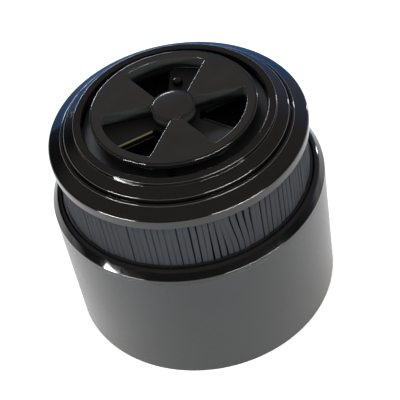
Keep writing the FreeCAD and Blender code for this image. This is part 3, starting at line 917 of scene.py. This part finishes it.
def make_cap():
    """Stepped cover: skirt, sloping flange, bead, shoulder, crest and the well of the dial."""
    turned_piece("stepped_cap", [
        (SKIRT_RADIUS, SKIRT_Z, SKIRT_ROUND),
        (SKIRT_RADIUS, FLANGE_Z, FLANGE_ROUND),
        (FLANGE_INNER, FLANGE_INNER_Z, 0),
        (FLANGE_INNER, BEAD_Z, BEAD_ROUND),
        (BEAD_INNER, BEAD_Z, BEAD_ROUND),
        (BEAD_INNER, FLANGE_INNER_Z, 0),
        (STEP_RADIUS, FLANGE_INNER_Z, 0),
        (STEP_RADIUS, STEP_Z, STEP_ROUND),
        (CREST_RADIUS, SHOULDER_Z, SHOULDER_ROUND),
        (CREST_RADIUS, CREST_Z, CREST_ROUND),
        (WELL_RADIUS, CREST_Z, CREST_ROUND),
        (WELL_RADIUS, DECK_Z, 0),
        (DECK_BORE, DECK_Z, FINE_ROUND),
        (DECK_BORE, DECK_Z - CAP_WALL, FINE_ROUND),
        (WELL_RADIUS + CAP_WALL, DECK_Z - CAP_WALL, 0),
        (WELL_RADIUS + CAP_WALL, WELL_WALL_Z, 0),
        (STEP_RADIUS - CAP_WALL, STEP_WALL_Z, 0),
        (STEP_RADIUS - CAP_WALL, FLANGE_INNER_Z - CAP_WALL, 0),
        (FLANGE_INNER, FLANGE_INNER_Z - CAP_WALL, 0),
        (SKIRT_BORE, FLANGE_Z - CAP_WALL, 0),
        (SKIRT_BORE, SKIRT_Z, FINE_ROUND),
    ], "cartridge", "gloss_black", GLOSS, "top_cap")


# Port plate


def make_port_plate():
    """Fixed shutter with three ports, three blades and the boss of the pivot."""
    bm = bmesh.new()
    margin = PLATE_RADIUS - PLATE_MARGIN
    ends = turn_profile(bm, [
        (margin, PLATE_TOP, 0),
        (PLATE_RADIUS, PLATE_TOP, FINE_ROUND),
        (PLATE_RADIUS, DECK_Z, FINE_ROUND),
        (margin, DECK_Z, 0),
    ])
    ends += turn_profile(bm, [
        (BOSS_RADIUS, PLATE_TOP, 0),
        (BOSS_RADIUS, BOSS_TOP, BOSS_TOP_ROUND),
        (BOSS_BORE, BOSS_TOP, 0),
        (BOSS_BORE, BOSS_FOOT, 0),
        (BOSS_RADIUS, BOSS_FOOT, BOSS_FOOT_ROUND),
        (BOSS_RADIUS, DECK_Z, 0),
    ])
    top = at(ends, margin, PLATE_TOP) + at(ends, BOSS_RADIUS, PLATE_TOP)
    under = at(ends, margin, DECK_Z) + at(ends, BOSS_RADIUS, DECK_Z)
    heights = [(grow, PLATE_TOP - drop) for grow, drop in PORT_EDGE] + [(0, DECK_Z)]
    for index in range(SECTORS):
        middle = BLADE_CENTRE + (index + 0.5) * 360 / SECTORS
        rows = [sector_line(bm, middle, WINDOW_WEDGE, grow - BLADE_RELIEF, PORT_INNER - grow,
                            WINDOW_RADIUS + grow, PORT_CORNER + grow, height)
                for grow, height in heights]
        bridge_down(bm, rows)
        top += rows[0]
        under += rows[-1]
    fill_flat(bm, top)
    fill_flat(bm, under)
    even_gloss(finish_piece(bm, "shutter_plate", "cartridge", "plate_black", PLATE, "port_plate"))


def make_wiper_strips():
    """Silicone strips along the blades' edges, each a channel with a wide foot; on one strip the
    amber lips are painted highlights and the dark web between them is painted shade.
    """
    bm = bmesh.new()
    back, sole = STRIP_BACK * STRIP_WIDTH, STRIP_SOLE * STRIP_WIDTH
    low, high = STRIP_FOOT + STRIP_LIP, STRIP_TOP - STRIP_LIP
    profile = [(0, STRIP_FOOT), (sole, STRIP_FOOT), (sole, low), (back, low),
               (back, high), (STRIP_WIDTH, high), (STRIP_WIDTH, STRIP_TOP), (0, STRIP_TOP)]
    length = ((STRIP_OUTER - STRIP_INNER) * MM, 0, 0)
    for index in range(SECTORS):
        for side in (-1, 1):
            corners = [bm.verts.new(Vector((STRIP_INNER, side * (BLADE_RELIEF + y), z)) * MM)
                       for y, z in profile]
            face = bm.faces.new(corners)
            made = bmesh.ops.extrude_face_region(bm, geom=[face], use_keep_orig=True)["geom"]
            far = [item for item in made if isinstance(item, bmesh.types.BMVert)]
            bmesh.ops.translate(bm, verts=far, vec=length)
            edge = BLADE_CENTRE + index * 360 / SECTORS + side * WINDOW_WEDGE / 2
            bmesh.ops.rotate(bm, verts=corners + far, cent=(0, 0, 0),
                             matrix=Matrix.Rotation(math.radians(edge), 3, "Z"))
            # Painted shade on the web between the lips and painted highlights on the amber lips of
            # the one highlight strip; every face of the other strips is dark rubber.
            for strip_face in {face for vert in corners + far for face in vert.link_faces}:
                inside = low < strip_face.calc_center_median().z / MM < high
                rubber_or_painted_shade = inside or (index, side) != HIGHLIGHT_STRIP
                strip_face.material_index = 1 if rubber_or_painted_shade else 0
    piece = finish_piece(bm, "wiper_strips", "cartridge", "amber_seal", AMBER_HIGHLIGHT, "port_seals")
    piece.data.materials.append(RUBBER)


def make_stud():
    """Domed stud on one blade."""
    bm = bmesh.new()
    turn_profile(bm, [
        (0, PLATE_TOP, 0),
        (STUD_RADIUS, PLATE_TOP, 0),
        (STUD_RADIUS, STUD_TOP, STUD_RADIUS * STUD_DOME),
        (0, STUD_TOP, 0),
    ], steps=STUD_STEPS)
    bmesh.ops.translate(bm, verts=bm.verts, vec=polar(STUD_ORBIT, BLADE_CENTRE + WINDOW_WEDGE / 2))
    even_gloss(finish_piece(bm, "stop_pin", "cartridge", "gloss_black", GLOSS, "stop_stud"))


def make_plate_screws():
    """The plate's three pan-head screws."""
    bm = bmesh.new()
    head_top = PLATE_TOP + SCREW_HEAD_HEIGHT
    turn_profile(bm, [
        (0, DECK_Z - CAP_WALL, 0),
        (SCREW_RADIUS, DECK_Z - CAP_WALL, FINE_ROUND),
        (SCREW_RADIUS, PLATE_TOP, 0),
        (SCREW_HEAD_RADIUS, PLATE_TOP, HAIR_ROUND),
        (SCREW_HEAD_RADIUS, head_top, SCREW_HEAD_ROUND),
        (0, head_top, 0),
    ], steps=SCREW_STEPS)
    one = bm.verts[:] + bm.edges[:] + bm.faces[:]
    bmesh.ops.translate(bm, verts=bm.verts, vec=polar(SCREW_ORBIT, SCREW_ANGLE))
    bmesh.ops.spin(bm, geom=one, cent=(0, 0, 0), axis=UP, dvec=(0, 0, 0), angle=TURN, steps=SECTORS,
                   use_merge=False, use_duplicate=True)
    finish_piece(bm, "plate_screw_heads", "cartridge", "screw_steel", BLACK_STEEL, "plate_screws")


# Flow dial


def pocket_line(bm, height):
    """Closed line round the hub and the three window frames, with a narrow pocket in each spoke."""
    before = set(bm.edges)
    half_gap = WINDOW_RELIEF - WINDOW_WALL
    outer = WINDOW_RADIUS + WINDOW_WALL
    lead = edge_lead(outer, half_gap)
    hub_lead = edge_lead(HUB_RADIUS, half_gap)
    first = None
    last = None
    for index in range(SECTORS):
        spoke = FIRST_WINDOW - WINDOW_WEDGE + index * 360 / SECTORS
        start = bm.verts.new(polar(outer, spoke + lead, height))
        if last:
            bm.edges.new((last, start))
        first = first or start
        end = arc(bm, start, 360 / SECTORS - 2 * lead, POCKET_STEPS)
        inside = bm.verts.new(polar(HUB_RADIUS, spoke + 360 / SECTORS - hub_lead, height))
        bm.edges.new((end, inside))
        last = arc(bm, inside, 2 * hub_lead, POCKET_HUB_STEPS)
    bm.edges.new((last, first))
    return [edge for edge in bm.edges if edge not in before]


def make_dial():
    """Thin disc with three framed windows, a recess for the hub cover and the pivot's bore."""
    bm = bmesh.new()
    land = DIAL_RADIUS - DIAL_MARGIN
    wall = DIAL_RADIUS - DIAL_SIDE_WALL
    side = turn_profile(bm, [
        (land, DIAL_TOP, 0),
        (DIAL_RADIUS, DIAL_TOP, DIAL_ROUND),
        (DIAL_RADIUS, DIAL_EDGE_FOOT, DIAL_FOOT_ROUND),
        (wall, DIAL_EDGE_FOOT, FINE_ROUND),
        (wall, DIAL_SKIN_Z, 0),
    ])
    # The outer band of the top, its rounded edge and the side take the polished black. This is
    # partly a polished rim for crisper highlights and partly painted shade: the darker colour
    # stands for the shade on the dial's side.
    for face in bm.faces:
        face.material_index = 2
    hub = turn_profile(bm, [
        (HUB_RADIUS + HUB_MARGIN, DIAL_TOP, 0),
        (HUB_RADIUS + HUB_PLAY, DIAL_TOP, FINE_ROUND),
        (HUB_RADIUS + HUB_PLAY, HUB_RECESS_Z, 0),
        (COUNTERBORE, HUB_RECESS_Z, 0),
        (COUNTERBORE, DIAL_BOTTOM + HUB_FLOOR, 0),
        (PIVOT_BORE, DIAL_BOTTOM + HUB_FLOOR, 0),
        (PIVOT_BORE, DIAL_BOTTOM, 0),
    ])
    top = at(side, land, DIAL_TOP) + at(hub, HUB_RADIUS + HUB_MARGIN, DIAL_TOP)
    edges = [(WINDOW_ROUND + WINDOW_MARGIN, 0)]
    edges += [(out * WINDOW_ROUND, drop * WINDOW_ROUND) for out, drop in QUARTER_ROUND]
    edges.append((0, DIAL_TOP - DIAL_BOTTOM))
    rows = [windows_line(bm, grow, DIAL_TOP - drop) for grow, drop in edges]
    for index in range(SECTORS):
        for face in bridge_down(bm, [row[index] for row in rows]):
            face.material_index = 1
        top += rows[0][index]
    fill_flat(bm, top)
    foot = pocket_line(bm, DIAL_BOTTOM)
    under = pocket_line(bm, DIAL_SKIN_Z)
    bmesh.ops.bridge_loops(bm, edges=foot + under)
    frames = [edge for line in rows[-1] for edge in line]
    fill_flat(bm, foot + frames + at(hub, PIVOT_BORE, DIAL_BOTTOM))
    fill_flat(bm, under + at(side, wall, DIAL_SKIN_Z))
    piece = finish_piece(bm, "flow_disc", "flow_dial", "gloss_black", DIAL, "dial")
    piece.data.materials.append(WINDOW_SIDE)
    piece.data.materials.append(GLOSS)
    even_gloss(piece)


def make_hub_cap():
    """Domed cover in the hub's recess."""
    turned_piece("hub_dome", [
        (0, HUB_RECESS_Z, 0),
        (HUB_RADIUS, HUB_RECESS_Z, HAIR_ROUND),
        (HUB_RADIUS, HUB_EDGE_Z, HUB_EDGE_ROUND),
        (HUB_RADIUS / 2, HUB_CROWN_Z, HUB_DOME_ROUND),
        (0, HUB_CROWN_Z, 0),
    ], "flow_dial", "gloss_black", DIAL, "hub_cap")


def dress_kept_nodes():
    """Give the CAD solids that stay as they are their real materials."""
    finishes = {
        "core_tube": DULL, "foam_block": FOAM, "bottom_potting": RESIN, "top_potting": RESIN,
        "top_plate": DULL, "cap_gasket": RUBBER, "pivot_screw": STEEL, "thrust_washer": NYLON,
    }
    for node, material in finishes.items():
        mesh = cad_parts[node].data
        mesh.materials.clear()
        mesh.materials.append(material)


aim_camera()
light_studio()
lay_floor()
stand_backing_card()
make_drum()
make_rim()
make_pleats()
make_cartridge_ends()
make_cap()
make_port_plate()
make_wiper_strips()
make_stud()
make_plate_screws()
make_dial()
make_hub_cap()
dress_kept_nodes()

bpy.context.scene.view_settings.view_transform = "Standard"
